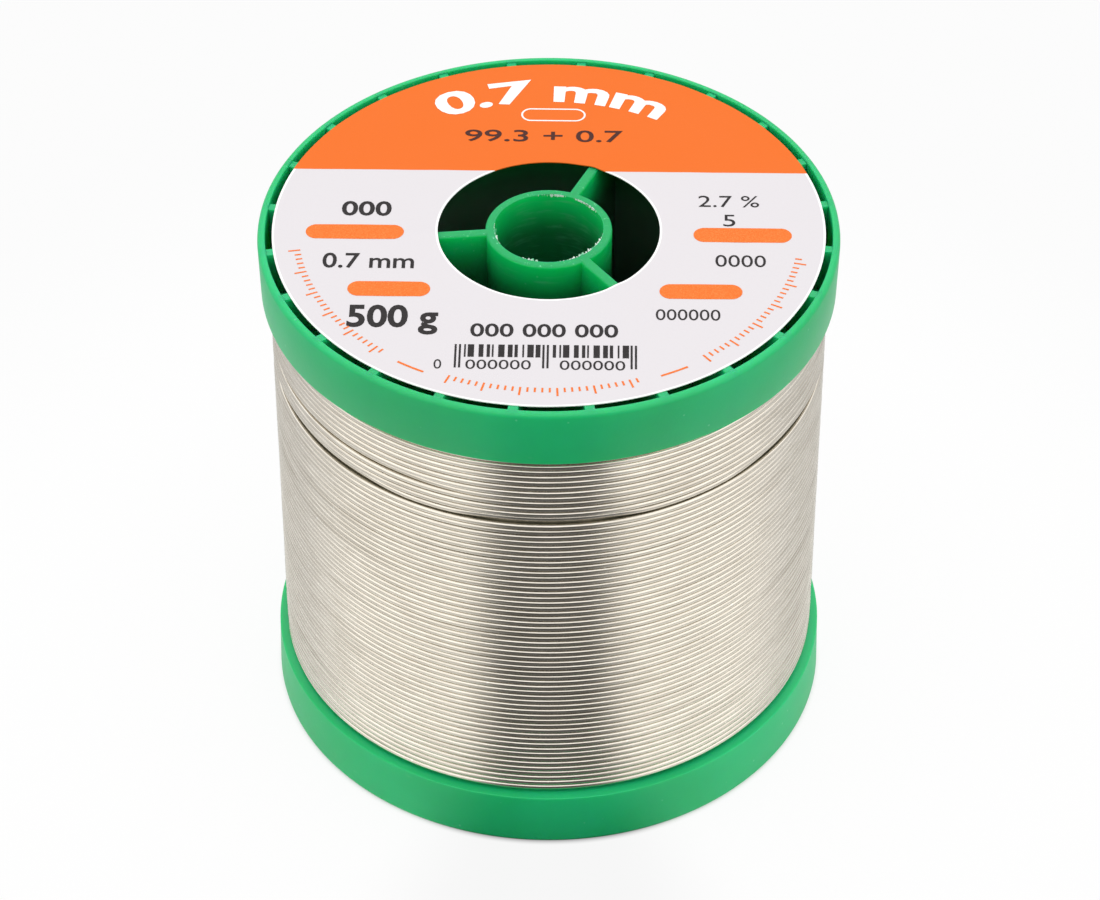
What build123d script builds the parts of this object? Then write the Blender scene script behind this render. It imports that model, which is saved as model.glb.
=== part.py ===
from build123d import *

import os

# A spool of flux-cored solder wire, standing on its lower flange.
# Millimetres, +Z up along the spool's axis, origin at the centre of the lower flange's resting plane.
# The bobbin is an extruded core (centre tube, three webs, winding drum) with a moulded flange on each end.
# Each flange is a thin disc inside a rim, stiffened by radial ribs, with a collar that sits on the drum.
# A paper ring covers the ribs of the upper flange. The wire fills the bobbin in concentric layers.

# Overall sizes
SPOOL_HEIGHT = 63.0
FLANGE_DIAMETER = 63.0

# Flanges
FLANGE_THICKNESS = 6.8
FLANGE_DISC_THICKNESS = 1.4
FLANGE_DRAFT = 0.17            # how much smaller the flange's radius is at its inner face
RIM_WALL = 1.0
RIM_OUTER_FILLET = 0.55
RIM_INNER_FILLET = 0.15
COLLAR_WALL = 1.2
RIB_COUNT = 24
RIB_THICKNESS = 1.1
FIRST_RIB_ANGLE = 8.0          # degrees from +X
RIB_RECESS = 0.2               # rib tops, collar and core ends lie this far inside the rim's plane

# Core
DRUM_DIAMETER = 36.4
DRUM_WALL = 1.6
BORE_DIAMETER = 11.8
TUBE_WALL = 0.95
WEB_COUNT = 3
WEB_THICKNESS = 1.15
FIRST_WEB_ANGLE = 65.5         # degrees from +X

# Label
LABEL_THICKNESS = 0.1
LABEL_RIM_GAP = 0.5            # between the label's edge and the rim's inner wall
LABEL_HOLE_DIAMETER = 24.0

# Wire
WIRE_TURN_SPACING = 0.726      # 0.7 mm wire, laid almost touching
WIRE_GROOVE_DEPTH = 0.3        # how deep the grooves between the outermost turns are
WIRE_CREST_SHARE = 0.4         # the share of a turn's pitch that its ridge's crest takes
WIRE_LAYER_COUNT = 20
WINDING_MARGIN = 1.1           # how far the flange's edge stands out past the outermost layer

FUSE_OVERLAP = 0.2             # how far a rib or web is sunk into the wall that it grows from

# Places that follow from the sizes above
flange_radius = FLANGE_DIAMETER / 2
drum_radius = DRUM_DIAMETER / 2
tube_radius = BORE_DIAMETER / 2 + TUBE_WALL
rim_inner_radius = flange_radius - RIM_WALL
collar_radius = drum_radius + COLLAR_WALL
label_radius = rim_inner_radius - LABEL_RIM_GAP
rib_top_z = SPOOL_HEIGHT - RIB_RECESS
flange_inner_z = SPOOL_HEIGHT - FLANGE_THICKNESS
disc_top_z = flange_inner_z + FLANGE_DISC_THICKNESS
winding_radius = flange_radius - WINDING_MARGIN
winding_width = SPOOL_HEIGHT - 2 * FLANGE_THICKNESS
layer_thickness = (winding_radius - drum_radius) / WIRE_LAYER_COUNT


def ring(outer_radius, inner_radius, bottom_z, top_z):
    """A plain ring about the spool's axis."""
    outer = Pos(0, 0, bottom_z) * extrude(Circle(outer_radius), top_z - bottom_z)
    inner = Pos(0, 0, bottom_z) * extrude(Circle(inner_radius), top_z - bottom_z)
    return outer - inner


def radial_wall(angle, inner_radius, outer_radius, thickness, bottom_z, top_z):
    """A flat wall that runs outwards from the axis at one angle, sunk into the walls at both its ends."""
    length = outer_radius - inner_radius + 2 * FUSE_OVERLAP
    middle = (inner_radius + outer_radius) / 2
    plan = Pos(middle, 0) * Rectangle(length, thickness)
    return Rot(0, 0, angle) * Pos(0, 0, bottom_z) * extrude(plan, top_z - bottom_z)


def core_profile():
    """The extruded core: centre tube, webs and winding drum, cut flush at both ends."""
    tube = ring(tube_radius, BORE_DIAMETER / 2, RIB_RECESS, rib_top_z)
    drum = ring(drum_radius, drum_radius - DRUM_WALL, RIB_RECESS, rib_top_z)
    core = tube + drum
    for index in range(WEB_COUNT):
        angle = FIRST_WEB_ANGLE + index * 360 / WEB_COUNT
        core += radial_wall(angle, tube_radius, drum_radius - DRUM_WALL, WEB_THICKNESS, RIB_RECESS, rib_top_z)
    return core


def flange_shell():
    """The upper flange without its ribs: disc, rim and collar, turned about the spool's axis."""
    outline = Polyline(
        (drum_radius, flange_inner_z),
        (flange_radius - FLANGE_DRAFT, flange_inner_z),
        (flange_radius, SPOOL_HEIGHT),
        (rim_inner_radius, SPOOL_HEIGHT),
        (rim_inner_radius, disc_top_z),
        (collar_radius, disc_top_z),
        (collar_radius, rib_top_z),
        (drum_radius, rib_top_z),
        close=True,
    )
    section = make_face(outline)
    rim_corners = section.vertices().group_by(Axis.Y)[-1].sort_by(Axis.X)
    section = fillet(rim_corners[-1], RIM_OUTER_FILLET)
    rim_corners = section.vertices().group_by(Axis.Y)[-1].sort_by(Axis.X)
    section = fillet(rim_corners[0], RIM_INNER_FILLET)
    return revolve(Plane.XZ * section, Axis.Z, 360)


def upper_flange():
    """One moulded flange with its radial ribs."""
    flange = flange_shell()
    for index in range(RIB_COUNT):
        angle = FIRST_RIB_ANGLE + index * 360 / RIB_COUNT
        flange += radial_wall(
            angle, collar_radius, rim_inner_radius, RIB_THICKNESS, disc_top_z - FUSE_OVERLAP, rib_top_z
        )
    return flange


def lower_flange(upper):
    """The same moulding turned over, on the core's other end."""
    return Pos(0, 0, SPOOL_HEIGHT) * Rot(180, 0, 0) * upper


def label():
    """The paper ring on the upper flange's ribs."""
    return ring(label_radius, LABEL_HOLE_DIAMETER / 2, rib_top_z, rib_top_z + LABEL_THICKNESS)


def inner_wire_layer(index):
    """One buried layer of the winding, as a plain ring that fills its share of the depth."""
    inner_radius = drum_radius + index * layer_thickness
    return ring(inner_radius + layer_thickness, inner_radius, FLANGE_THICKNESS, flange_inner_z)


def outer_wire_layer():
    """The outermost layer, with one flat-crested ridge for each turn of wire."""
    turn_count = int(winding_width / WIRE_TURN_SPACING)
    turn_pitch = winding_width / turn_count
    inner_radius = winding_radius - layer_thickness
    groove_radius = winding_radius - min(WIRE_GROOVE_DEPTH, layer_thickness / 2)
    outline = [(inner_radius, FLANGE_THICKNESS), (groove_radius, FLANGE_THICKNESS)]
    for turn in range(turn_count):
        low_z = FLANGE_THICKNESS + turn * turn_pitch
        outline.append((winding_radius, low_z + turn_pitch * (1 - WIRE_CREST_SHARE) / 2))
        outline.append((winding_radius, low_z + turn_pitch * (1 + WIRE_CREST_SHARE) / 2))
        outline.append((groove_radius, low_z + turn_pitch))
    outline.append((inner_radius, flange_inner_z))
    section = make_face(Polyline(*outline, close=True))
    return revolve(Plane.XZ * section, Axis.Z, 360)


def save(part, name):
    export_step(part, f"parts/{name}.step")


os.makedirs("parts", exist_ok=True)
upper = upper_flange()
save(core_profile(), "core_profile")
save(upper, "upper_flange")
save(lower_flange(upper), "lower_flange")
save(label(), "label")
for layer in range(WIRE_LAYER_COUNT - 1):
    save(inner_wire_layer(layer), f"wire_layer_{layer + 1:02d}")
save(outer_wire_layer(), f"wire_layer_{WIRE_LAYER_COUNT:02d}")
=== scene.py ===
import math

import bmesh
import bpy
from mathutils import Matrix, Vector, noise


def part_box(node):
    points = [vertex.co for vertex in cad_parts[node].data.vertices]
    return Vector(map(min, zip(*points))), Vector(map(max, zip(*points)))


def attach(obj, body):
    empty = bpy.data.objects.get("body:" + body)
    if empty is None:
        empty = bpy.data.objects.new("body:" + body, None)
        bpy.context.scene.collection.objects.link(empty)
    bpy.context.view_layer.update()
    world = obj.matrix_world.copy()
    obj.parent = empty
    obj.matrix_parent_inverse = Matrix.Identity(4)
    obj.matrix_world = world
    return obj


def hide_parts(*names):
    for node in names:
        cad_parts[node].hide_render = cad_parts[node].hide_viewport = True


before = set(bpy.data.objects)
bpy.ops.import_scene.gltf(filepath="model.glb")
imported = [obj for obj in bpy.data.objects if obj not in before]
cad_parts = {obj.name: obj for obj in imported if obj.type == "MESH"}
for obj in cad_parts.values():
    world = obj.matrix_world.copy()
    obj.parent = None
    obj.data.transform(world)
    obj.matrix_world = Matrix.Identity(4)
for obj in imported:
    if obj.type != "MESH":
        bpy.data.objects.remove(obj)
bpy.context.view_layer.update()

# A spool of flux-cored solder wire: green plastic bobbin, printed paper ring and the wound wire.
# The lengths below are millimetres. Each mesh is made at that size and brought to metres as it is finished.
MM = 0.001


def reach(node):
    """How far a round node of the frame stands out from the spool's axis, in millimetres."""
    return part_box(node)[1][0] / MM


def height_span(node):
    """The lowest and highest point of a node of the frame, in millimetres."""
    low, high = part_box(node)
    return low[2] / MM, high[2] / MM


# Sizes read from the frame
FLANGE_RADIUS = reach("upper_flange")
SPOOL_HEIGHT = height_span("upper_flange")[1]
FLANGE_INNER_Z = height_span("upper_flange")[0]
FLANGE_THICKNESS = SPOOL_HEIGHT - FLANGE_INNER_Z
CORE_LOW_Z, CORE_TOP_Z = height_span("core_profile")
DRUM_RADIUS = reach("core_profile")
LABEL_RADIUS = reach("label")
LABEL_LOW_Z, LABEL_TOP_Z = height_span("label")
WINDING_RADIUS = reach("wire_layer_20")

# Bobbin
RIM_WALL = 0.85
FLANGE_DISC_THICKNESS = 1.4
FLANGE_DRAFT = 0.17
COLLAR_WALL = 1.2
RIB_COUNT = 24
RIB_THICKNESS = 1.1
RIB_OVERLAP = 0.3              # how far a rib runs into the rim, the collar and the disc
FIRST_RIB_ANGLE = 8.0
DRUM_WALL = 1.6
BORE_RADIUS = 5.9
TUBE_WALL = 0.95
WEB_THICKNESS = 1.15
WEB_ANGLES = (65.5, 185.5, 305.5)
SAWN_EDGE = 0.3                # how far the core's sawn edges are worn round
ROUND_STEPS = 240              # flat strips round a full turn of the bobbin
CHAMBER_STEPS = 64             # flat strips along each curved side of a chamber
BURR_STEPS = 420
BURR_SIZE = 0.45
TORN_PLACES = ((-42, 34), (190, 16), (45, 18), (86, 14), (250, 12))   # degrees round the bore: middle, spread

# Label
LABEL_HOLE_RADIUS = 12.0
LABEL_TRIM = 0.12              # the paper is cut this much short of its nominal edge
HOLE_SHIFT = 0.4               # the label's hole is punched this far off centre, towards the front
LABEL_TILT = -0.9              # degrees: the ring was stuck on slightly turned
ORANGE_FROM = 9.95             # the orange segment starts this far above the label's centre
LABEL_STEPS = 360
LABEL_RINGS = 5                # rings of faces on either side of the middle circle
LABEL_MIDDLE = 18.0            # the radius of the circle inside which the paper follows its hole
WEB_LIFT = 0.16                # how far the sawn webs hold the paper up at its hole
WEB_LIFT_SPREAD = 5.0          # degrees
WEB_LIFT_END = 17.0            # the radius at which the paper lies down again
WEB_LIFT_FADE = 5.0
RIPPLE_HEIGHT = 0.03
PRINT_LIFT = 0.012
PRINT_THICKNESS = 0.012

# Wire
WIRE_RADIUS = 0.35
TURN_COUNT = 66
SUNK_TURN = 54                 # the turn that slipped down between its neighbours
SUNK_DEPTH = 0.4
SUNK_SPREAD = 0.4              # the pitches of room that the slipped turn opens round it
# Parts of a turn, as shares of it counted from the back: rises from, to, falls from, to
DEEP_STRETCHES = ((0.1, 0.2, 0.38, 0.42), (0.44, 0.47, 0.53, 0.56), (0.6, 0.65, 0.85, 0.95))
PRESSED_TURN = 58              # a turn pressed in on its way round the left side only
PRESSED_STRETCH = (0.15, 0.25, 0.4, 0.47)
PRESSED_DEPTH = 0.28
STEPS_PER_TURN = 168
WIRE_SIDES = 12
TURN_PITCH = (FLANGE_INNER_Z - FLANGE_THICKNESS - 2 * WIRE_RADIUS) / (TURN_COUNT + SUNK_SPREAD)
FLUX_CORE_COUNT = 5
FLUX_CORE_OFFSET = 0.18        # from the wire's middle to the middle of a flux core


# ---------------------------------------------------------------- camera, light and floor

CAMERA_DISTANCE = 470.0
CAMERA_ELEVATION = math.radians(41.04)
CAMERA_TARGET_Z = 30.97
CAMERA_LENS = 136.1
CAMERA_SENSOR = 36.0
CAMERA_SHIFT = 0.0011

# The room's light. It is dim towards the camera, so that the wire has a dull band up its front.
# Angles are degrees round the axis from the camera's side, heights are shares of the way up to overhead.
DIM_FRONT_ENDS = (16, 34)
SOFTBOXES_END = (70, 105)
SOFTBOX_FOOT = (0.1, 0.45)
CEILING_EDGE = (0.4, 0.68)
DIM_FRONT_LIGHT = (0.03, 0.03, 0.03, 1)
LOW_WALL_LIGHT = (0.95, 0.93, 0.9, 1)
SOFTBOX_LIGHT = (1.45, 1.43, 1.38, 1)
BACK_LIGHT = (0.68, 0.68, 0.69, 1)
CEILING_LIGHT = (1.38, 1.38, 1.38, 1)
WHITE = (1, 1, 1, 1)

# The floor. Its lengths are metres.
FLOOR_RADIUS = 3.0
FLOOR_PAINTED_SHADE_ENDS = (11, 32)      # degrees round from the camera's side: where the floor's painted shade in front fades out
# Painted shade on the floor in front of the spool, which the wire reflects.
FLOOR_PAINTED_SHADE = (0.12, 0.12, 0.12, 1)
# A painted pool of light on the floor round the spool, darker further out.
FLOOR_PAINTED_POOL = (0.84, 0.84, 0.84, 1)
FLOOR_BEYOND_PAINTED_POOL = (0.55, 0.55, 0.55, 1)
FLOOR_PAINTED_POOL_ENDS = (0.06, 0.11)
FOOT_EDGE = (0.0305, 0.032)    # the floor glows for the camera outside the spool's foot only
FLOOR_GLOW_SHARE = 0.92


def add_camera():
    camera_data = bpy.data.cameras.new("camera")
    camera_data.sensor_width = CAMERA_SENSOR
    camera_data.lens = CAMERA_LENS
    camera_data.shift_x = CAMERA_SHIFT
    camera_data.clip_start = 0.01
    camera = bpy.data.objects.new("camera", camera_data)
    camera.location = (
        0,
        -CAMERA_DISTANCE * math.cos(CAMERA_ELEVATION) * MM,
        (CAMERA_TARGET_Z + CAMERA_DISTANCE * math.sin(CAMERA_ELEVATION)) * MM,
    )
    camera.rotation_euler = (math.pi / 2 - CAMERA_ELEVATION, 0, 0)
    bpy.context.scene.collection.objects.link(camera)
    bpy.context.scene.camera = camera


class Nodes:
    """A node tree with short calls for adding nodes and wiring them."""

    def __init__(self, tree):
        self.tree = tree

    def give(self, socket, value):
        """Sets an input socket to a value, or links it from an output socket."""
        if isinstance(value, bpy.types.NodeSocket):
            self.tree.links.new(value, socket)
        else:
            socket.default_value = value

    def add(self, kind, inputs=None, **settings):
        node = self.tree.nodes.new(kind)
        for name, value in settings.items():
            setattr(node, name, value)
        for name, value in (inputs or {}).items():
            self.give(node.inputs[name], value)
        return node

    def math(self, operation, first, second=0.0, third=0.0):
        return self.add("ShaderNodeMath", {0: first, 1: second, 2: third}, operation=operation).outputs[0]

    def axes(self, vector):
        return self.add("ShaderNodeSeparateXYZ", {"Vector": vector}).outputs

    def across(self, axes):
        """The part of a place that lies across the spool's axis."""
        return self.add("ShaderNodeCombineXYZ", {"X": axes["X"], "Y": axes["Y"]}).outputs[0]

    def length(self, vector):
        return self.add("ShaderNodeVectorMath", {0: vector}, operation="LENGTH").outputs["Value"]

    def from_front(self, axes):
        """The angle of a place round the axis, counted either way from the camera's side."""
        sideways = self.math("ABSOLUTE", axes["X"])
        return self.math("ARCTAN2", sideways, self.math("MULTIPLY", axes["Y"], -1.0))

    def step(self, value, low, high):
        """0 at low and 1 at high, smooth between them. Low may be the larger of the two."""
        node = self.add(
            "ShaderNodeMapRange",
            {"Value": value, "From Min": low, "From Max": high},
            interpolation_type="SMOOTHSTEP",
        )
        return node.outputs["Result"]

    def angle_step(self, value, degrees):
        low, high = degrees
        return self.step(value, math.radians(low), math.radians(high))

    def mix(self, factor, first, second):
        node = self.add("ShaderNodeMix", data_type="RGBA")
        for index, value in ((0, factor), (6, first), (7, second)):
            self.give(node.inputs[index], value)
        return node.outputs[2]

    def mix_part(self, mask, share, first, second):
        """Lays the second colour over the first where a mask is, at a share of its full strength."""
        return self.mix(self.math("MULTIPLY", mask, share), first, second)


def colour(red, green, blue):
    """A colour given as it shows on screen, 0 to 255, as a linear colour with alpha."""
    def linear(value):
        share = value / 255
        return share / 12.92 if share <= 0.04045 else ((share + 0.055) / 1.055) ** 2.4
    return (linear(red), linear(green), linear(blue), 1.0)


def add_world():
    """A white studio: bright sides and top, dim towards the camera. The camera itself sees plain white."""
    world = bpy.data.worlds.new("studio")
    bpy.context.scene.world = world
    world.use_nodes = True
    world.node_tree.nodes.clear()
    nodes = Nodes(world.node_tree)
    axes = nodes.axes(nodes.add("ShaderNodeTexCoord").outputs["Generated"])
    away = nodes.from_front(axes)
    softboxes = nodes.mix(nodes.step(axes["Z"], *SOFTBOX_FOOT), LOW_WALL_LIGHT, SOFTBOX_LIGHT)
    sides = nodes.mix(nodes.angle_step(away, SOFTBOXES_END), softboxes, BACK_LIGHT)
    walls = nodes.mix(nodes.angle_step(away, DIM_FRONT_ENDS), DIM_FRONT_LIGHT, sides)
    room = nodes.mix(nodes.step(axes["Z"], *CEILING_EDGE), walls, CEILING_LIGHT)
    lit = nodes.add("ShaderNodeBackground", {"Color": room, "Strength": 1.0})
    seen = nodes.add("ShaderNodeBackground", {"Color": WHITE, "Strength": 1.0})
    path = nodes.add("ShaderNodeLightPath").outputs
    to_camera = path["Is Camera Ray"]
    shown = nodes.add("ShaderNodeMixShader", {0: to_camera, 1: lit.outputs[0], 2: seen.outputs[0]})
    nodes.add("ShaderNodeOutputWorld", {"Surface": shown.outputs[0]})


def add_floor():
    """A white table top keeping the spool's shadow, with a painted pool of light and painted shade in front.
    From below it is clear.
    """
    bm = bmesh.new()
    bmesh.ops.create_circle(bm, cap_ends=True, radius=FLOOR_RADIUS, segments=64)
    mesh = bpy.data.meshes.new("floor")
    bm.to_mesh(mesh)
    bm.free()
    floor = bpy.data.objects.new("floor", mesh)
    bpy.context.scene.collection.objects.link(floor)
    material, nodes, place = new_material("table_white")
    from_axis = nodes.length(place)
    near, far = FLOOR_PAINTED_POOL_ENDS
    # A painted pool of light round the spool.
    white = nodes.mix(nodes.step(from_axis, far, near), FLOOR_BEYOND_PAINTED_POOL, FLOOR_PAINTED_POOL)
    # Painted shade on the floor in front of the spool.
    beside_painted_shade = nodes.angle_step(nodes.from_front(nodes.axes(place)), FLOOR_PAINTED_SHADE_ENDS)
    matt = nodes.add("ShaderNodeBsdfDiffuse", {"Color": nodes.mix(beside_painted_shade, FLOOR_PAINTED_SHADE, white)})
    glow = nodes.add("ShaderNodeEmission", {"Color": WHITE, "Strength": 1.0})
    path = nodes.add("ShaderNodeLightPath").outputs
    outside_foot = nodes.step(from_axis, *FOOT_EDGE)
    glow_share = nodes.math(
        "MULTIPLY", nodes.math("MULTIPLY", path["Is Camera Ray"], outside_foot), FLOOR_GLOW_SHARE
    )
    from_above = nodes.add("ShaderNodeMixShader", {0: glow_share, 1: matt.outputs[0], 2: glow.outputs[0]})
    from_below = nodes.add("ShaderNodeBsdfTransparent")
    back = nodes.add("ShaderNodeNewGeometry").outputs["Backfacing"]
    came_through = nodes.math("GREATER_THAN", path["Transparent Depth"], 0.5)
    clear = nodes.math("MAXIMUM", back, came_through)
    surface = nodes.add("ShaderNodeMixShader", {0: clear, 1: from_above.outputs[0], 2: from_below.outputs[0]})
    nodes.add("ShaderNodeOutputMaterial", {"Surface": surface.outputs[0]})
    mesh.materials.append(material)


# ---------------------------------------------------------------- shared surface effects

def effect_group(name, inputs, outputs):
    """A new shader group with its sockets. Returns its tree, its node helper and what it is given."""
    tree = bpy.data.node_groups.new(name, "ShaderNodeTree")
    for socket, kind, value in inputs:
        made = tree.interface.new_socket(name=socket, in_out="INPUT", socket_type=kind)
        if value is not None:
            made.default_value = value
    for socket, kind in outputs:
        tree.interface.new_socket(name=socket, in_out="OUTPUT", socket_type=kind)
    nodes = Nodes(tree)
    entry = nodes.add("NodeGroupInput")
    return tree, nodes, entry.outputs


def specks_group():
    """Small scattered spots, such as dust and pinpoint flaws."""
    tree, nodes, given = effect_group(
        "specks",
        [("Vector", "NodeSocketVector", None), ("Scale", "NodeSocketFloat", 900.0),
         ("Share", "NodeSocketFloat", 0.1)],
        [("Mask", "NodeSocketFloat")],
    )
    cells = nodes.add("ShaderNodeTexVoronoi", {"Vector": given["Vector"], "Scale": given["Scale"]})
    chosen = nodes.add("ShaderNodeSeparateColor", {"Color": cells.outputs["Color"]}).outputs["Red"]
    keep = nodes.math("LESS_THAN", chosen, given["Share"])
    size = nodes.math("SUBTRACT", 1.0, nodes.step(cells.outputs["Distance"], 0.1, 0.28))
    nodes.add("NodeGroupOutput", {"Mask": nodes.math("MULTIPLY", keep, size)})
    return tree


def streaks_group():
    """Fine lines that run round the spool's axis with no seam. Round shortens them and Height thins them."""
    tree, nodes, given = effect_group(
        "streaks",
        [("Vector", "NodeSocketVector", None), ("Round", "NodeSocketFloat", 2.0),
         ("Height", "NodeSocketFloat", 4000.0), ("Detail", "NodeSocketFloat", 3.0)],
        [("Value", "NodeSocketFloat")],
    )
    axes = nodes.axes(given["Vector"])
    flat = nodes.across(axes)
    outwards = nodes.add("ShaderNodeVectorMath", {0: flat}, operation="NORMALIZE").outputs[0]
    around = nodes.add("ShaderNodeVectorMath", {0: outwards, 3: given["Round"]}, operation="SCALE").outputs[0]
    round_axes = nodes.axes(around)
    level = nodes.math("MULTIPLY", axes["Z"], given["Height"])
    reach_out = nodes.math("MULTIPLY", nodes.length(flat), given["Height"])
    wound = nodes.add(
        "ShaderNodeCombineXYZ", {"X": round_axes["X"], "Y": round_axes["Y"], "Z": level}
    ).outputs[0]
    lines = nodes.add(
        "ShaderNodeTexNoise", {"Vector": wound, "W": reach_out, "Scale": 1.0, "Detail": given["Detail"]},
        noise_dimensions="4D",
    )
    nodes.add("NodeGroupOutput", {"Value": lines.outputs["Fac"]})
    return tree


def mottle_group():
    """Slow cloudy variation with finer grain in it."""
    tree, nodes, given = effect_group(
        "mottle",
        [("Vector", "NodeSocketVector", None), ("Scale", "NodeSocketFloat", 60.0)],
        [("Cloud", "NodeSocketFloat"), ("Grain", "NodeSocketFloat")],
    )
    place = given["Vector"]
    cloud = nodes.add("ShaderNodeTexNoise", {"Vector": place, "Scale": given["Scale"], "Detail": 4.0})
    fine_scale = nodes.math("MULTIPLY", given["Scale"], 45.0)
    grain = nodes.add("ShaderNodeTexNoise", {"Vector": place, "Scale": fine_scale, "Detail": 2.0})
    nodes.add("NodeGroupOutput", {"Cloud": cloud.outputs["Fac"], "Grain": grain.outputs["Fac"]})
    return tree


SPECKS = specks_group()
STREAKS = streaks_group()
MOTTLE = mottle_group()


def new_material(name):
    """A material with its node helper, the Object coordinates and an empty node tree."""
    material = bpy.data.materials.new(name)
    material.use_nodes = True
    material.node_tree.nodes.clear()
    nodes = Nodes(material.node_tree)
    place = nodes.add("ShaderNodeTexCoord").outputs["Object"]
    return material, nodes, place


def effect(nodes, group, **inputs):
    """Places a shared effect in a material. Returns its outputs."""
    node = nodes.add("ShaderNodeGroup", node_tree=group)
    for name, value in inputs.items():
        nodes.give(node.inputs[name], value)
    return node.outputs


def finish_material(nodes, inputs):
    shader = nodes.add("ShaderNodeBsdfPrincipled", inputs)
    nodes.add("ShaderNodeOutputMaterial", {"Surface": shader.outputs[0]})


# ---------------------------------------------------------------- materials

GREEN = colour(28, 194, 122)
GREEN_DEEP = colour(22, 186, 112)
GREEN_WORN = colour(120, 205, 160)
GREEN_DUSTY = colour(150, 225, 190)

CORE_GREEN = colour(4, 200, 108)
CORE_GREEN_DEEP = colour(0, 190, 98)
CORE_DUSTY = colour(120, 210, 160)
# The sawn ends: partly the cut plastic's own tone, partly painted shade because they face the overhead light.
SAWN_END_PAINTED_SHADE = colour(12, 166, 96)
TORN_END = colour(120, 214, 168)
CORE_SHADED = colour(14, 70, 40)          # well down the bore and the chambers, where little light comes
CHAMBER_PAINTED_SHADE = colour(70, 92, 74)         # painted shade at the back of the chambers, under the label
BORE_MARKS = colour(86, 170, 126)
BURR_THICK = colour(84, 196, 138)
BURR_THIN = colour(232, 247, 238)

PAPER_GREY = colour(221, 217, 220)
PAPER_GREY_DEEP = colour(214, 209, 213)
PAPER_WHITE = colour(253, 253, 253)
LABEL_ORANGE = colour(234, 109, 20)
LABEL_ORANGE_DEEP = colour(228, 99, 14)
BARE_EDGE = (0.2, 0.26)                   # how far in from its cut edges the paper has no print

WIRE_SILVER = colour(222, 215, 202)
WIRE_BRIGHT = colour(236, 230, 218)
WIRE_PATCH = colour(205, 198, 184)
WIRE_DULL = colour(186, 178, 164)
WIRE_DUST = colour(252, 250, 244)
# The inner layers' wire, darkened with painted shade for the gaps it shows down.
INNER_WIRE_PAINTED_SHADE_DARK = colour(110, 110, 97)
INNER_WIRE_PAINTED_SHADE_PALE = colour(146, 143, 128)
ROSIN_DARK = colour(150, 100, 40)
ROSIN_PALE = colour(205, 160, 84)


def moulded_green():
    """Glossy green polystyrene, as moulded: faint flow clouds, light scuffs and dust specks."""
    material, nodes, place = new_material("moulded_green")
    clouds = effect(nodes, MOTTLE, Vector=place, Scale=55.0)
    base = nodes.mix(nodes.step(clouds["Cloud"], 0.35, 0.65), GREEN_DEEP, GREEN)
    scuff = effect(nodes, STREAKS, Vector=place, Round=9.0, Height=900.0, Detail=5.0)["Value"]
    base = nodes.mix_part(nodes.step(scuff, 0.68, 0.82), 0.25, base, GREEN_WORN)
    dust = effect(nodes, SPECKS, Vector=place, Scale=1500.0, Share=0.02)["Mask"]
    base = nodes.mix_part(dust, 0.3, base, GREEN_DUSTY)
    rough = nodes.math("MULTIPLY_ADD", clouds["Cloud"], 0.14, 0.3)
    fine = nodes.add("ShaderNodeBump", {"Height": clouds["Grain"], "Strength": 0.05, "Distance": 0.0002})
    finish_material(nodes, {
        "Base Color": base, "Roughness": rough, "Normal": fine.outputs[0], "IOR": 1.5,
        "Specular IOR Level": 0.42,
        "Subsurface Weight": 0.5, "Subsurface Scale": 0.002, "Subsurface Radius": (0.15, 1.0, 0.35),
    })
    return material


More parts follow.
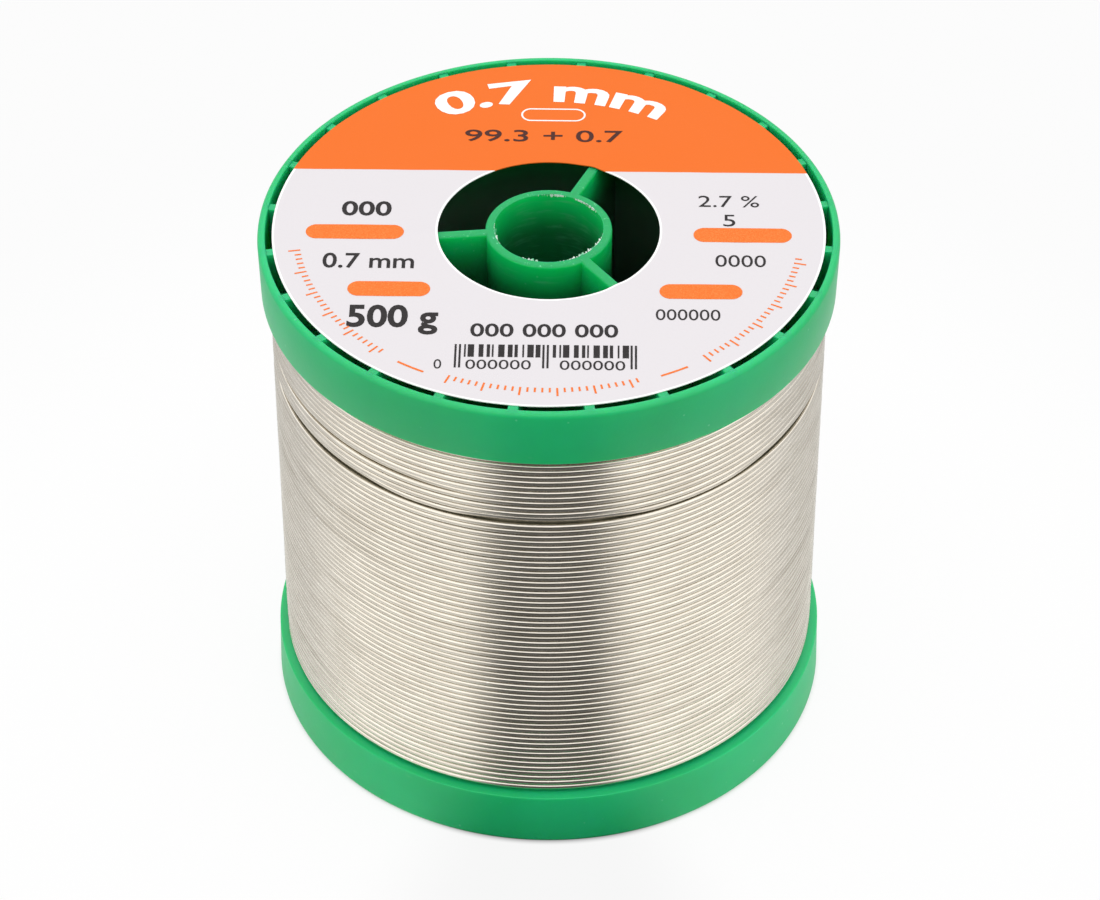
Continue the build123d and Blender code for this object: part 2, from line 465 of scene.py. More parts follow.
def sawn_green():
    """The extruded core: fine ring marks down its walls, and pale torn plastic where its ends are sawn;
    painted shade deep inside.
    """
    material, nodes, place = new_material("sawn_green")
    axes = nodes.axes(place)
    from_axis = nodes.length(nodes.across(axes))
    clouds = effect(nodes, MOTTLE, Vector=place, Scale=70.0)
    rings = effect(nodes, STREAKS, Vector=place, Round=2.5, Height=2600.0, Detail=3.0)["Value"]
    base = nodes.mix(nodes.step(clouds["Cloud"], 0.35, 0.65), CORE_GREEN_DEEP, CORE_GREEN)
    base = nodes.mix_part(nodes.step(rings, 0.55, 0.8), 0.3, base, GREEN_WORN)
    top = nodes.step(axes["Z"], (CORE_TOP_Z - 0.25) * MM, (CORE_TOP_Z - 0.04) * MM)
    bottom = nodes.step(axes["Z"], (CORE_LOW_Z + 0.25) * MM, (CORE_LOW_Z + 0.04) * MM)
    sawn = nodes.math("MAXIMUM", top, bottom)
    torn = nodes.add(
        "ShaderNodeTexNoise", {"Vector": place, "Scale": 2300.0, "Detail": 5.0, "Roughness": 0.7}
    ).outputs["Fac"]
    torn_mask = nodes.math("MULTIPLY", nodes.step(torn, 0.6, 0.72), sawn)
    # The sawn ends, darkened with painted shade, with pale torn plastic on them.
    base = nodes.mix(sawn, base, nodes.mix(torn_mask, SAWN_END_PAINTED_SHADE, TORN_END))
    dust = effect(nodes, SPECKS, Vector=place, Scale=1600.0, Share=0.05)["Mask"]
    base = nodes.mix_part(dust, 0.4, base, CORE_DUSTY)
    depth = nodes.math("MINIMUM", nodes.math("SUBTRACT", CORE_TOP_Z * MM, axes["Z"]), axes["Z"])
    base = nodes.mix_part(nodes.step(depth, 0.0, 0.006), 0.87, base, CORE_SHADED)
    # Painted shade at the back of the chambers, under the label.
    chamber_painted_shade = nodes.math("MULTIPLY", nodes.step(from_axis, 0.0075, 0.013), nodes.step(depth, 0.002, 0.009))
    base = nodes.mix_part(chamber_painted_shade, 0.9, base, CHAMBER_PAINTED_SHADE)
    bore = nodes.step(from_axis, (BORE_RADIUS + 0.06) * MM, (BORE_RADIUS + 0.02) * MM)
    drawn = nodes.math("MULTIPLY", nodes.step(rings, 0.5, 0.72), bore)
    base = nodes.mix_part(drawn, 0.3, base, BORE_MARKS)
    relief = nodes.math("ADD", nodes.math("MULTIPLY", rings, 0.5), nodes.math("MULTIPLY", torn_mask, 2.0))
    bump = nodes.add("ShaderNodeBump", {"Height": relief, "Strength": 0.25, "Distance": 0.0001})
    rough = nodes.math("MULTIPLY_ADD", sawn, 0.25, 0.34)
    finish_material(nodes, {
        "Base Color": base, "Roughness": rough, "Normal": bump.outputs[0], "IOR": 1.5,
        "Subsurface Weight": 0.6, "Subsurface Scale": 0.003, "Subsurface Radius": (0.1, 1.0, 0.4),
    })
    return material


def burr_green():
    """Thin torn plastic left on the tube's edge by the saw: nearly white."""
    material, nodes, place = new_material("burr_green")
    clouds = effect(nodes, MOTTLE, Vector=place, Scale=900.0)
    base = nodes.mix(nodes.step(clouds["Cloud"], 0.36, 0.52), BURR_THICK, BURR_THIN)
    finish_material(nodes, {"Base Color": base, "Roughness": 0.55})
    return material


def label_paper():
    """Coated paper with its printed ground: an orange segment, a grey-white field and bare white edges."""
    material, nodes, place = new_material("label_paper")
    layout = nodes.add(
        "ShaderNodeMapping",
        {"Vector": place, "Scale": (1 / MM, 1 / MM, 1 / MM), "Rotation": (0, 0, math.radians(-LABEL_TILT))},
    ).outputs[0]
    axes = nodes.axes(layout)
    flat = nodes.across(axes)
    clouds = effect(nodes, MOTTLE, Vector=place, Scale=120.0)
    orange = nodes.mix_part(clouds["Grain"], 0.12, LABEL_ORANGE, LABEL_ORANGE_DEEP)
    grey = nodes.mix_part(clouds["Grain"], 0.3, PAPER_GREY, PAPER_GREY_DEEP)
    orange_part = nodes.step(axes["Y"], ORANGE_FROM - 0.03, ORANGE_FROM + 0.03)
    printed = nodes.mix(orange_part, grey, orange)
    paper_edge = LABEL_RADIUS - LABEL_TRIM
    bare_from, bare_to = BARE_EDGE
    outer_edge = nodes.step(nodes.length(flat), paper_edge - bare_to, paper_edge - bare_from)
    from_hole = nodes.add(
        "ShaderNodeVectorMath", {0: flat, 1: (0, HOLE_SHIFT, 0)}, operation="ADD"
    ).outputs[0]
    hole = LABEL_HOLE_RADIUS
    hole_edge = nodes.step(nodes.length(from_hole), hole + bare_to, hole + bare_from)
    bare = nodes.math("SUBTRACT", nodes.math("MAXIMUM", outer_edge, hole_edge), orange_part)
    base = nodes.mix(nodes.math("MAXIMUM", bare, 0.0), printed, PAPER_WHITE)
    fibres = nodes.add("ShaderNodeBump", {"Height": clouds["Grain"], "Strength": 0.08, "Distance": 0.0001})
    rough = nodes.math("MULTIPLY_ADD", clouds["Cloud"], 0.12, 0.5)
    finish_material(nodes, {
        "Base Color": base, "Roughness": rough, "Normal": fibres.outputs[0], "Specular IOR Level": 0.3,
    })
    return material


def print_ink(name, ink, worn):
    """One printing ink, with the small tonal unevenness of a printed label."""
    material, nodes, place = new_material(name)
    clouds = effect(nodes, MOTTLE, Vector=place, Scale=200.0)
    base = nodes.mix(nodes.step(clouds["Grain"], 0.4, 0.75), ink, worn)
    finish_material(nodes, {"Base Color": base, "Roughness": 0.5, "Specular IOR Level": 0.3})
    return material


def solder_metal():
    """Drawn tin alloy wire: warm silver with fine drawing lines along it, dull patches and a little dust."""
    material, nodes, place = new_material("solder_metal")
    clouds = effect(nodes, MOTTLE, Vector=place, Scale=90.0)
    lines = effect(nodes, STREAKS, Vector=place, Round=12.0, Height=7000.0, Detail=3.0)["Value"]
    base = nodes.mix(nodes.step(lines, 0.35, 0.65), WIRE_SILVER, WIRE_BRIGHT)
    base = nodes.mix_part(nodes.step(clouds["Cloud"], 0.55, 0.75), 0.3, base, WIRE_PATCH)
    dull_turns = effect(nodes, STREAKS, Vector=place, Round=2.0, Height=1300.0, Detail=1.0)["Value"]
    base = nodes.mix_part(nodes.step(dull_turns, 0.5, 0.72), 0.4, base, WIRE_DULL)
    dust = effect(nodes, SPECKS, Vector=place, Scale=1500.0, Share=0.02)["Mask"]
    base = nodes.mix_part(dust, 0.5, base, WIRE_DUST)
    rough = nodes.math("MULTIPLY_ADD", clouds["Cloud"], 0.14, 0.11)
    bump = nodes.add("ShaderNodeBump", {"Height": lines, "Strength": 0.06, "Distance": 0.00003})
    finish_material(nodes, {
        "Base Color": base, "Metallic": 1.0, "Roughness": rough, "Normal": bump.outputs[0],
    })
    return material


def inner_wire_metal():
    """The inner layers, seen only down the gaps of the outer one: the same wire, dusty, and darkened with
    painted shade.
    """
    material, nodes, place = new_material("inner_wire_metal")
    clouds = effect(nodes, MOTTLE, Vector=place, Scale=300.0)
    base = nodes.mix(nodes.step(clouds["Cloud"], 0.35, 0.7), INNER_WIRE_PAINTED_SHADE_DARK, INNER_WIRE_PAINTED_SHADE_PALE)
    finish_material(nodes, {"Base Color": base, "Metallic": 1.0, "Roughness": 0.45})
    return material


def flux_resin():
    """Amber rosin in the wire's cores, seen only at its cut end."""
    material, nodes, place = new_material("flux_resin")
    clouds = effect(nodes, MOTTLE, Vector=place, Scale=800.0)
    base = nodes.mix(clouds["Cloud"], ROSIN_DARK, ROSIN_PALE)
    finish_material(nodes, {"Base Color": base, "Roughness": 0.2})
    return material


# ---------------------------------------------------------------- mesh helpers

def finish_piece(name, bm, material, replaced=(), sharp=35):
    """Brings a mesh to metres, shades it, makes it an object and gives it to the spool's body."""
    bmesh.ops.recalc_face_normals(bm, faces=bm.faces)
    bmesh.ops.scale(bm, vec=(MM, MM, MM), verts=bm.verts)
    mesh = bpy.data.meshes.new(name)
    bm.to_mesh(mesh)
    bm.free()
    mesh.polygons.foreach_set("use_smooth", [True] * len(mesh.polygons))
    mesh.set_sharp_from_angle(angle=math.radians(sharp))
    mesh.materials.append(material)
    piece = bpy.data.objects.new(name, mesh)
    bpy.context.scene.collection.objects.link(piece)
    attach(piece, "root")
    if replaced:
        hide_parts(*replaced)


def rounded_outline(corners, arc_steps=4):
    """Points of a closed outline in (reach, height), with an arc of the given radius at each corner."""
    points = []
    count = len(corners)
    for index, (reach_out, level, radius) in enumerate(corners):
        corner = Vector((reach_out, level))
        before = (Vector(corners[index - 1][:2]) - corner).normalized()
        after = (Vector(corners[(index + 1) % count][:2]) - corner).normalized()
        if radius == 0:
            points.append(corner)
            continue
        half = before.angle(after) / 2
        middle = corner + (before + after).normalized() * radius / math.sin(half)
        start = corner + before * radius / math.tan(half) - middle
        end = corner + after * radius / math.tan(half) - middle
        for step in range(arc_steps + 1):
            points.append(middle + start.slerp(end, step / arc_steps).normalized() * radius)
    return points


def spin_ring(bm, outline, steps=ROUND_STEPS):
    """Turns a closed outline about the spool's axis."""
    verts = [bm.verts.new((point[0], 0, point[1])) for point in outline]
    edges = [bm.edges.new(pair) for pair in zip(verts, verts[1:] + verts[:1])]
    bmesh.ops.spin(
        bm, geom=verts + edges, cent=(0, 0, 0), axis=(0, 0, 1), dvec=(0, 0, 0),
        angle=2 * math.pi, steps=steps, use_merge=True, use_duplicate=False,
    )


def bevelled_block(bm, size, matrix, edge_radius):
    """A block with softened edges. Returns its vertices."""
    made = bmesh.ops.create_cube(bm, size=1, matrix=matrix @ Matrix.Diagonal((*size, 1)))
    edges = list({edge for vert in made["verts"] for edge in vert.link_edges})
    bevelled = bmesh.ops.bevel(
        bm, geom=edges, offset=edge_radius, offset_type="OFFSET", segments=2, profile=0.5,
        affect="EDGES", material=-1,
    )
    faces = {face for vert in bevelled["verts"] for face in vert.link_faces}
    return list({vert for face in faces for vert in face.verts})


def radial_block(bm, angle, inner, outer, thickness, low_z, top_z, edge_radius):
    """A flat wall that runs straight out from the axis."""
    size = (outer - inner, thickness, top_z - low_z)
    place = Matrix.Translation(((inner + outer) / 2, 0, (low_z + top_z) / 2))
    return bevelled_block(bm, size, Matrix.Rotation(math.radians(angle), 4, "Z") @ place, edge_radius)


# ---------------------------------------------------------------- bobbin

def add_flange(name, replaced, turned_over):
    """One flange: disc, rim and collar turned in one outline, and its radial ribs."""
    bm = bmesh.new()
    disc_top = FLANGE_INNER_Z + FLANGE_DISC_THICKNESS
    rim_inner = FLANGE_RADIUS - RIM_WALL
    collar = DRUM_RADIUS + COLLAR_WALL
    spin_ring(bm, rounded_outline([
        (DRUM_RADIUS, FLANGE_INNER_Z, 0),
        (FLANGE_RADIUS - FLANGE_DRAFT, FLANGE_INNER_Z, 0.12),
        (FLANGE_RADIUS, SPOOL_HEIGHT, 0.6),
        (rim_inner, SPOOL_HEIGHT, 0.18),
        (rim_inner, disc_top, 0.3),
        (collar, disc_top, 0.3),
        (collar, CORE_TOP_Z, 0.1),
        (DRUM_RADIUS, CORE_TOP_Z, 0),
    ]))
    rib = radial_block(
        bm, FIRST_RIB_ANGLE, collar - RIB_OVERLAP, rim_inner + RIB_OVERLAP, RIB_THICKNESS,
        disc_top - RIB_OVERLAP, CORE_TOP_Z, edge_radius=0.12,
    )
    rib_faces = list({face for vert in rib for face in vert.link_faces})
    rib_edges = list({edge for vert in rib for edge in vert.link_edges})
    share = (RIB_COUNT - 1) / RIB_COUNT
    bmesh.ops.spin(
        bm, geom=rib + rib_edges + rib_faces, cent=(0, 0, 0), axis=(0, 0, 1), dvec=(0, 0, 0),
        angle=2 * math.pi * share, steps=RIB_COUNT - 1, use_merge=False, use_duplicate=True,
    )
    if turned_over:
        flip = Matrix.Translation((0, 0, SPOOL_HEIGHT)) @ Matrix.Rotation(math.pi, 4, "X")
        bmesh.ops.transform(bm, matrix=flip, verts=bm.verts)
    finish_piece(name, bm, MOULDED_GREEN, replaced)


def chamber_outline(bm, first_angle):
    """The outline of one chamber of the core: an arc of the tube, an arc of the drum and two webs' sides."""
    ends = []
    for radius in (BORE_RADIUS + TUBE_WALL, DRUM_RADIUS - DRUM_WALL):
        web_share = math.asin(WEB_THICKNESS / 2 / radius)
        low = math.radians(first_angle) + web_share
        first = bm.verts.new((radius * math.cos(low), radius * math.sin(low), 0))
        spun = bmesh.ops.spin(
            bm, geom=[first], cent=(0, 0, 0), axis=(0, 0, 1), dvec=(0, 0, 0),
            angle=2 * math.pi / len(WEB_ANGLES) - 2 * web_share, steps=CHAMBER_STEPS,
            use_merge=False, use_duplicate=False,
        )
        last = next(item for item in spun["geom_last"] if isinstance(item, bmesh.types.BMVert))
        ends.append((first, last))
    for tube_end, drum_end in zip(*ends):
        bm.edges.new((tube_end, drum_end))


def wear_ends(bm, low_reach, high_reach, offset):
    """Rounds the sawn edges at both ends whose reach from the axis is between the two given."""
    edges = []
    for edge in bm.edges:
        one, other = (vert.co for vert in edge.verts)
        level = abs(one.z - other.z) < 0.001
        if level and low_reach < one.xy.length < high_reach and edge.calc_face_angle(0) > 1:
            edges.append(edge)
    bmesh.ops.bevel(
        bm, geom=edges, offset=offset, offset_type="OFFSET", segments=4, profile=0.5,
        affect="EDGES", material=-1,
    )


def add_core():
    """The sawn extrusion, one piece of plastic: centre tube, three webs and the drum wall."""
    bm = bmesh.new()
    for radius in (BORE_RADIUS, DRUM_RADIUS):
        bmesh.ops.create_circle(bm, cap_ends=False, radius=radius, segments=ROUND_STEPS)
    for angle in WEB_ANGLES:
        chamber_outline(bm, angle)
    bmesh.ops.triangle_fill(bm, use_beauty=True, use_dissolve=True, edges=bm.edges[:])
    bmesh.ops.translate(bm, vec=(0, 0, CORE_LOW_Z), verts=bm.verts)
    grown = bmesh.ops.extrude_face_region(bm, geom=bm.faces[:])
    verts = [item for item in grown["geom"] if isinstance(item, bmesh.types.BMVert)]
    bmesh.ops.translate(bm, vec=(0, 0, CORE_TOP_Z - CORE_LOW_Z), verts=verts)
    wear_ends(bm, BORE_RADIUS + 0.1, DRUM_RADIUS - 0.1, SAWN_EDGE)
    wear_ends(bm, BORE_RADIUS - 0.1, BORE_RADIUS + 0.1, SAWN_EDGE / 4)
    wear_ends(bm, DRUM_RADIUS - 0.1, DRUM_RADIUS + 0.1, SAWN_EDGE / 4)
    finish_piece("core_body", bm, SAWN_GREEN, ["core_profile"])


def add_bore_burr():
    """A thin ragged lip of torn plastic round the inner edge of the tube's sawn end."""
    bm = bmesh.new()
    spin_ring(bm, [
        Vector((BORE_RADIUS + 0.2, CORE_TOP_Z - 0.12)),
        Vector((BORE_RADIUS + 0.06, CORE_TOP_Z - 0.2)),
        Vector((BORE_RADIUS + 0.06, CORE_TOP_Z - 0.08)),
        Vector((BORE_RADIUS + 0.2, CORE_TOP_Z - 0.1)),
    ], steps=BURR_STEPS)
    for vert in bm.verts:
        turn = math.atan2(vert.co.y, vert.co.x)
        flat = Vector((vert.co.x, vert.co.y, 0))
        if flat.length > BORE_RADIUS + 0.1:
            continue
        torn = max(
            math.exp(-(((math.degrees(turn) - place + 180) % 360 - 180) / spread) ** 2)
            for place, spread in TORN_PLACES
        )
        ragged = noise.noise(Vector((turn * 26, 5.1, 0))) + 0.6 * noise.noise(Vector((turn * 70, 1.3, 0)))
        size = BURR_SIZE * torn * max(0.0, ragged + 0.45)
        inward = flat.normalized() * (0.6 * size)
        vert.co.x -= inward.x
        vert.co.y -= inward.y
        if vert.co.z > CORE_TOP_Z - 0.1:
            vert.co.z += 0.7 * size
    finish_piece("bore_burr", bm, BURR_GREEN, sharp=60)


# ---------------------------------------------------------------- label

def paper_lift(place):
    """How far the paper stands above its flat plane, over the sawn webs by its hole and in slow ripples."""
    reach_out = math.hypot(place.x, place.y)
    turn = math.degrees(math.atan2(place.y, place.x)) % 360
    near_hole = max(0.0, min(1.0, (WEB_LIFT_END - reach_out) / WEB_LIFT_FADE))
    lift = RIPPLE_HEIGHT * noise.noise(Vector((place.x, place.y, 0)) * 0.3)
    for angle in WEB_ANGLES:
        off = (turn - angle + 180) % 360 - 180
        lift += WEB_LIFT * near_hole * math.exp(-(off / WEB_LIFT_SPREAD) ** 2)
    return lift


def add_label():
    """The paper ring, laid over the ribs and the sawn webs."""
    bm = bmesh.new()
    hole, edge, middle = LABEL_HOLE_RADIUS, LABEL_RADIUS - LABEL_TRIM, LABEL_MIDDLE
    outline = [Vector((hole, LABEL_LOW_Z)), Vector((edge, LABEL_LOW_Z)), Vector((edge, LABEL_TOP_Z))]
    for begin, end in ((edge, middle), (middle, hole)):
        for ring in range(1, LABEL_RINGS + 1):
            outline.append(Vector((begin + (end - begin) * ring / LABEL_RINGS, LABEL_TOP_Z)))
    spin_ring(bm, outline, steps=LABEL_STEPS)
    for vert in bm.verts:
        inner_share = max(0.0, min(1.0, (middle - vert.co.xy.length) / (middle - hole)))
        vert.co.y -= HOLE_SHIFT * inner_share
        vert.co.z += paper_lift(vert.co)
    finish_piece("label_ring", bm, LABEL_PAPER, ["label"])


def pill(bm, centre, length, width):
    """A flat round-ended bar."""
    made = bmesh.ops.create_circle(bm, cap_ends=True, radius=width / 2, segments=32)
    for vert in made["verts"]:
        side = 0 if abs(vert.co.x) < 0.001 else math.copysign((length - width) / 2, vert.co.x)
        vert.co.x += side
    bmesh.ops.translate(bm, vec=(*centre, 0), verts=made["verts"])


def pill_outline(bm, centre, length, width, line):
    """A thin round-ended frame."""
    made = bmesh.ops.create_circle(bm, cap_ends=True, radius=width / 2, segments=32)
    face = made["verts"][0].link_faces[0]
    bmesh.ops.inset_region(bm, faces=[face], thickness=line, use_boundary=True)
    verts = list({vert for edge in face.edges for vert in edge.verts} | set(made["verts"]))
    for vert in verts:
        vert.co.x += math.copysign((length - width) / 2, vert.co.x)
    bmesh.ops.delete(bm, geom=[face], context="FACES_ONLY")
    bmesh.ops.translate(bm, vec=(*centre, 0), verts=verts)


def arc_band(bm, radius, width, start, end):
    """A flat strip that follows a circle about the spool's axis, between two angles in degrees."""
    first = math.radians(start)
    verts = [
        bm.verts.new((math.cos(first) * reach_out, math.sin(first) * reach_out, 0))
        for reach_out in (radius - width / 2, radius + width / 2)
    ]
    edge = bm.edges.new(verts)
    steps = max(2, int(abs(end - start) / 1.5))
    bmesh.ops.spin(
        bm, geom=verts + [edge], cent=(0, 0, 0), axis=(0, 0, 1), dvec=(0, 0, 0),
        angle=math.radians(end - start), steps=steps, use_merge=False, use_duplicate=False,
    )


def lettering(bm, words, centre, width, cap_height, weight=0.0, bend_radius=None):
    """Flat figures of a given width and height. With a bend radius they follow a circle about the axis."""
    curve = bpy.data.curves.new("figures", "FONT")
    curve.body = words
    curve.offset = weight
    curve.resolution_u = 4
    holder = bpy.data.objects.new("figures", curve)
    bpy.context.scene.collection.objects.link(holder)
    graph = bpy.context.evaluated_depsgraph_get()
    mesh = bpy.data.meshes.new_from_object(holder.evaluated_get(graph))
    bpy.data.objects.remove(holder)
    bpy.data.curves.remove(curve)
    across = [vert.co.x for vert in mesh.vertices]
    up = [vert.co.y for vert in mesh.vertices]
    figure_top = max(up)
    middle = (min(across) + max(across)) / 2
    stretch = width / (max(across) - min(across))
    rise = cap_height / figure_top
    for vert in mesh.vertices:
        x = (vert.co.x - middle) * stretch
        y = vert.co.y * rise - cap_height / 2
        if bend_radius is None:
            vert.co = (x + centre[0], y + centre[1], 0)
        else:
            turn = math.pi / 2 - x / bend_radius
            vert.co = ((bend_radius + y) * math.cos(turn), (bend_radius + y) * math.sin(turn), 0)
    bm.from_mesh(mesh)
    bpy.data.meshes.remove(mesh)


def finish_print(name, bm, material):
    """Gives flat print its small thickness and lays it on the label, turned as the label is."""
    grown = bmesh.ops.extrude_face_region(bm, geom=bm.faces[:])
    verts = [item for item in grown["geom"] if isinstance(item, bmesh.types.BMVert)]
    bmesh.ops.translate(bm, vec=(0, 0, PRINT_THICKNESS), verts=verts)
    tilt = Matrix.Rotation(math.radians(LABEL_TILT), 4, "Z")
    place = Matrix.Translation((0, 0, LABEL_TOP_Z + PRINT_LIFT)) @ tilt
    bmesh.ops.transform(bm, matrix=place, verts=bm.verts)
    for vert in bm.verts:
        vert.co.z += paper_lift(vert.co)
    finish_piece(name, bm, material)


# The print's layout, in millimetres from the label's centre. The figures stand upright to the front.
PILL_WIDTH = 2.5
ORANGE_PILLS = ((-20.9, -1.15, 10.6), (20.9, -1.15, 10.6), (-16.8, -10.9, 8.8), (16.3, -10.9, 8.8))
MARGIN_RADIUS = 27.6
DASH_ARCS = ((236.2, 242.8), (295.8, 302.4))
TICK_ARCS = ((189.5, 231.0), (248.5, 290.5), (307.5, 349.0))
TICKS_IN_ARC = 27
LONG_TICK, SHORT_TICK = 1.3, 0.7
TICK_HALF_ANGLE = 0.22
FIGURES = (                    # words, middle, width, height, weight
    ("000", (-19.8, 3.0), 5.4, 2.5, 0.02),
    ("0.7 mm", (-19.2, -6.1), 9.8, 2.5, 0.012),
    ("500 g", (-16.2, -15.4), 9.6, 3.6, 0.025),
    ("2.7 %", (19.5, 4.8), 6.6, 2.0, 0.0),
    ("5", (19.5, 1.4), 1.3, 2.0, 0.0),
    ("0000", (20.6, -5.6), 5.4, 2.0, 0.0),
    ("000000", (14.9, -14.8), 6.8, 1.8, 0.0),
    ("000 000 000", (-0.2, -17.6), 15.5, 2.1, 0.015),
    ("0", (-11.2, -23.25), 0.8, 1.5, 0.0),
    ("000000", (-4.9, -23.25), 6.8, 1.5, 0.0),
    ("000000", (4.9, -23.25), 6.8, 1.5, 0.0),
)
BARS_TOP = -20.0
BAR_HEIGHT = 2.05
GUARD_BAR_HEIGHT = 3.8
GUARD_BAR_WIDTH = 0.22
GUARD_BARS = (-9.5, -9.05, -0.33, 0.12, 8.85, 9.3)
BAR_GROUPS = (-8.5, 0.75)
BAR_GROUP_WIDTH = 7.5


def add_orange_print():
    bm = bmesh.new()
    for across, up, length in ORANGE_PILLS:
        pill(bm, (across, up), length, PILL_WIDTH)
    for start, end in DASH_ARCS:
        arc_band(bm, MARGIN_RADIUS, 0.26, start, end)
    for start, end in TICK_ARCS:
        for index in range(TICKS_IN_ARC):
            middle = start + (end - start) * index / (TICKS_IN_ARC - 1)
            tall = LONG_TICK if index % 5 == 0 else SHORT_TICK
            radius = MARGIN_RADIUS + tall / 2 - LONG_TICK / 2
            arc_band(bm, radius, tall, middle - TICK_HALF_ANGLE, middle + TICK_HALF_ANGLE)
    finish_print("label_orange_print", bm, ORANGE_INK)


def add_white_print():
    bm = bmesh.new()
    lettering(bm, "0.7 mm", (0, 0), 27.0, 4.1, weight=0.03, bend_radius=25.0)
    pill_outline(bm, (0.2, 20.3), 7.2, 2.4, 0.2)
    finish_print("label_white_print", bm, WHITE_INK)


def add_brown_print():
    """The dark figures that are printed over the orange."""
    bm = bmesh.new()
    lettering(bm, "99.3 + 0.7", (-0.8, 16.4), 17.5, 2.1, weight=0.01)
    finish_print("label_brown_print", bm, BROWN_INK)


def add_bar(bm, left, width, height):
    centre = Matrix.Translation((left + width / 2, BARS_TOP - height / 2, 0))
    place = centre @ Matrix.Diagonal((width, height, 1, 1))
    bmesh.ops.create_grid(bm, x_segments=1, y_segments=1, size=0.5, matrix=place)


def add_dark_print():
    """Plain figures, and a row of bars that encodes nothing."""
    bm = bmesh.new()
    for words, centre, width, height, weight in FIGURES:
        lettering(bm, words, centre, width, height, weight)
    for left in GUARD_BARS:
        add_bar(bm, left, GUARD_BAR_WIDTH, GUARD_BAR_HEIGHT)
    index = 0
    for first in BAR_GROUPS:
        left = first
        while left < first + BAR_GROUP_WIDTH:
            width = 0.18 + 0.16 * ((index * 7) % 4)
            add_bar(bm, left, width, BAR_HEIGHT)
            left += width + 0.2 + 0.14 * ((index * 5) % 3)
            index += 1
    finish_print("label_dark_print", bm, DARK_INK)


# ---------------------------------------------------------------- wire

def smooth_step(value, low, high):
    share = max(0.0, min(1.0, (value - low) / (high - low)))
    return share * share * (3 - 2 * share)


def part_of_turn(turn, first, shares):
    """1 along part of the turn numbered first and 0 elsewhere, with soft ends."""
    rises_from, rises_to, falls_from, falls_to = (first + share for share in shares)
    return smooth_step(turn, rises_from, rises_to) - smooth_step(turn, falls_from, falls_to)


def wander(turn, rate, row):
    """A smooth random drift along the winding, between -1 and 1."""
    return noise.noise(Vector((turn * rate, row, 0)))


def lay_of_wire(turn):
    """How far the wire's middle is moved outwards and upwards, at a place counted in turns."""
    into = smooth_step(turn, SUNK_TURN - 0.05, SUNK_TURN + 0.04)
    out_of = smooth_step(turn, SUNK_TURN + 0.96, SUNK_TURN + 1.05)
    deep = 0.0
    for shares in DEEP_STRETCHES:
        deep += part_of_turn(turn, SUNK_TURN, shares)
    outwards = -SUNK_DEPTH * (into - out_of) * (0.35 + 0.65 * deep)
    front_share = smooth_step(math.cos(2 * math.pi * turn), 0.2, -0.95)
    upwards = SUNK_SPREAD * TURN_PITCH * (into + out_of) / 2 * (0.5 + 0.5 * front_share)
    outwards -= PRESSED_DEPTH * part_of_turn(turn, PRESSED_TURN, PRESSED_STRETCH)
    outwards += 0.035 * wander(turn, 1.37, 0.3) + 0.02 * wander(turn, 9.1, 4.4)
    upwards += 0.045 * wander(turn, 1.21, 7.7) + 0.02 * wander(turn, 7.3, 2.2)
    tucked_in = 1 - smooth_step(turn, 0.0, 0.12)
    sprung_out = smooth_step(turn, TURN_COUNT - 0.045, TURN_COUNT)
    outwards += -0.45 * tucked_in + 0.35 * sprung_out
    upwards += -0.25 * sprung_out
    return outwards, upwards


def add_wire_run(name, first_turn, turn_count, replaced=()):
    """Part of the outermost layer: a true helix of round wire that starts at the back of the spool."""
    bm = bmesh.new()
    middle = WINDING_RADIUS - WIRE_RADIUS
    low_z = FLANGE_THICKNESS + WIRE_RADIUS + first_turn * TURN_PITCH
    face_along = Matrix.Translation((0, middle, low_z)) @ Matrix.Rotation(math.pi / 2, 4, "Y")
    bmesh.ops.create_circle(bm, radius=WIRE_RADIUS, segments=WIRE_SIDES, matrix=face_along)
    for turns, steps, copied in ((1, STEPS_PER_TURN, False), (turn_count - 1, turn_count - 1, True)):
        bmesh.ops.spin(
            bm, geom=bm.verts[:] + bm.edges[:] + bm.faces[:], cent=(0, 0, 0), axis=(0, 0, 1),
            dvec=(0, 0, turns * TURN_PITCH / steps), angle=2 * math.pi * turns, steps=steps,
            use_merge=False, use_duplicate=copied,
        )
    bmesh.ops.remove_doubles(bm, verts=bm.verts, dist=0.005)
    bmesh.ops.holes_fill(bm, edges=[edge for edge in bm.edges if edge.is_boundary], sides=WIRE_SIDES)
    for vert in bm.verts:
        round_turn = (math.atan2(-vert.co.x, vert.co.y) / (2 * math.pi)) % 1.0
        level = (vert.co.z - low_z) / TURN_PITCH
        turn = first_turn + round_turn + round(level - round_turn)
        outwards, upwards = lay_of_wire(turn)
        reach_out = math.hypot(vert.co.x, vert.co.y)
        vert.co.x *= 1 + outwards / reach_out
        vert.co.y *= 1 + outwards / reach_out
        vert.co.z += upwards
    finish_piece(name, bm, SOLDER_METAL, replaced, sharp=50)


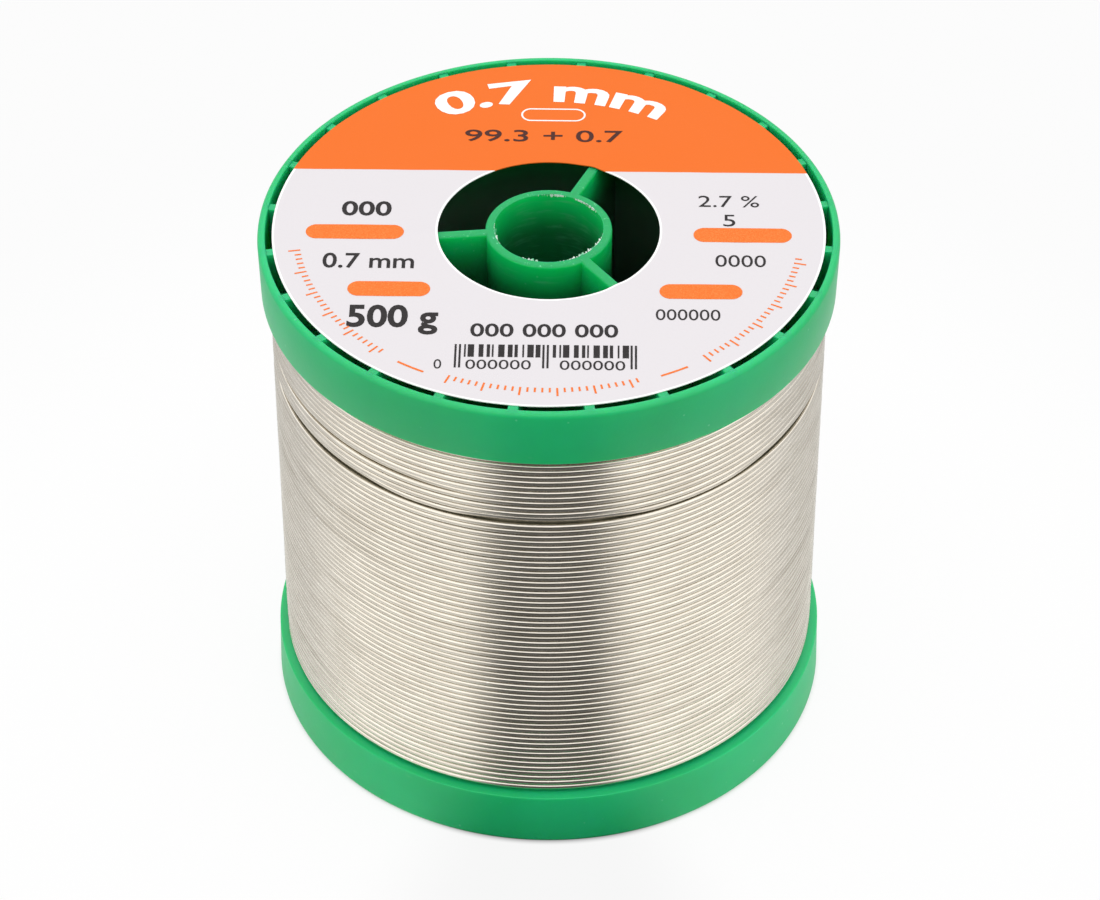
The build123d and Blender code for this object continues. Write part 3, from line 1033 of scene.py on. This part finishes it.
def add_flux_cores():
    """The rosin cores in the wire's cut end."""
    outwards, upwards = lay_of_wire(TURN_COUNT)
    end_z = FLANGE_THICKNESS + WIRE_RADIUS + TURN_COUNT * TURN_PITCH + upwards
    end_reach = WINDING_RADIUS - WIRE_RADIUS + outwards
    bm = bmesh.new()
    for index in range(FLUX_CORE_COUNT):
        angle = 2 * math.pi * index / FLUX_CORE_COUNT
        across = end_reach + FLUX_CORE_OFFSET * math.cos(angle)
        up = end_z + FLUX_CORE_OFFSET * math.sin(angle)
        place = Matrix.Translation((-0.004, across, up)) @ Matrix.Rotation(math.pi / 2, 4, "Y")
        bmesh.ops.create_cone(
            bm, cap_ends=True, cap_tris=False, segments=12, radius1=0.055, radius2=0.05, depth=0.03,
            matrix=place,
        )
    finish_piece("flux_cores", bm, FLUX_RESIN)


# ---------------------------------------------------------------- the spool

add_camera()
add_world()
add_floor()
bpy.context.scene.view_settings.view_transform = "Standard"

MOULDED_GREEN = moulded_green()
SAWN_GREEN = sawn_green()
BURR_GREEN = burr_green()
LABEL_PAPER = label_paper()
ORANGE_INK = print_ink("orange_ink", LABEL_ORANGE, colour(250, 138, 62))
WHITE_INK = print_ink("white_ink", colour(252, 250, 250), colour(244, 238, 236))
DARK_INK = print_ink("dark_ink", colour(26, 21, 22), colour(48, 42, 43))
BROWN_INK = print_ink("brown_ink", colour(62, 20, 10), colour(86, 34, 18))
SOLDER_METAL = solder_metal()
INNER_WIRE_METAL = inner_wire_metal()
FLUX_RESIN = flux_resin()

add_flange("upper_flange_body", ["upper_flange"], turned_over=False)
add_flange("lower_flange_body", ["lower_flange"], turned_over=True)
add_core()
add_bore_burr()
add_label()
add_orange_print()
add_white_print()
add_brown_print()
add_dark_print()

RUN_TURNS = TURN_COUNT // 3
add_wire_run("wire_run_low", 0, RUN_TURNS, ["wire_layer_20"])
add_wire_run("wire_run_middle", RUN_TURNS, RUN_TURNS, ["wire_layer_20"])
add_wire_run("wire_run_high", 2 * RUN_TURNS, RUN_TURNS, ["wire_layer_20"])
add_flux_cores()

# The inner layers take the metal darkened with painted shade.
for name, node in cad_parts.items():
    if name.startswith("wire_layer"):
        node.data.materials.clear()
        node.data.materials.append(INNER_WIRE_METAL)
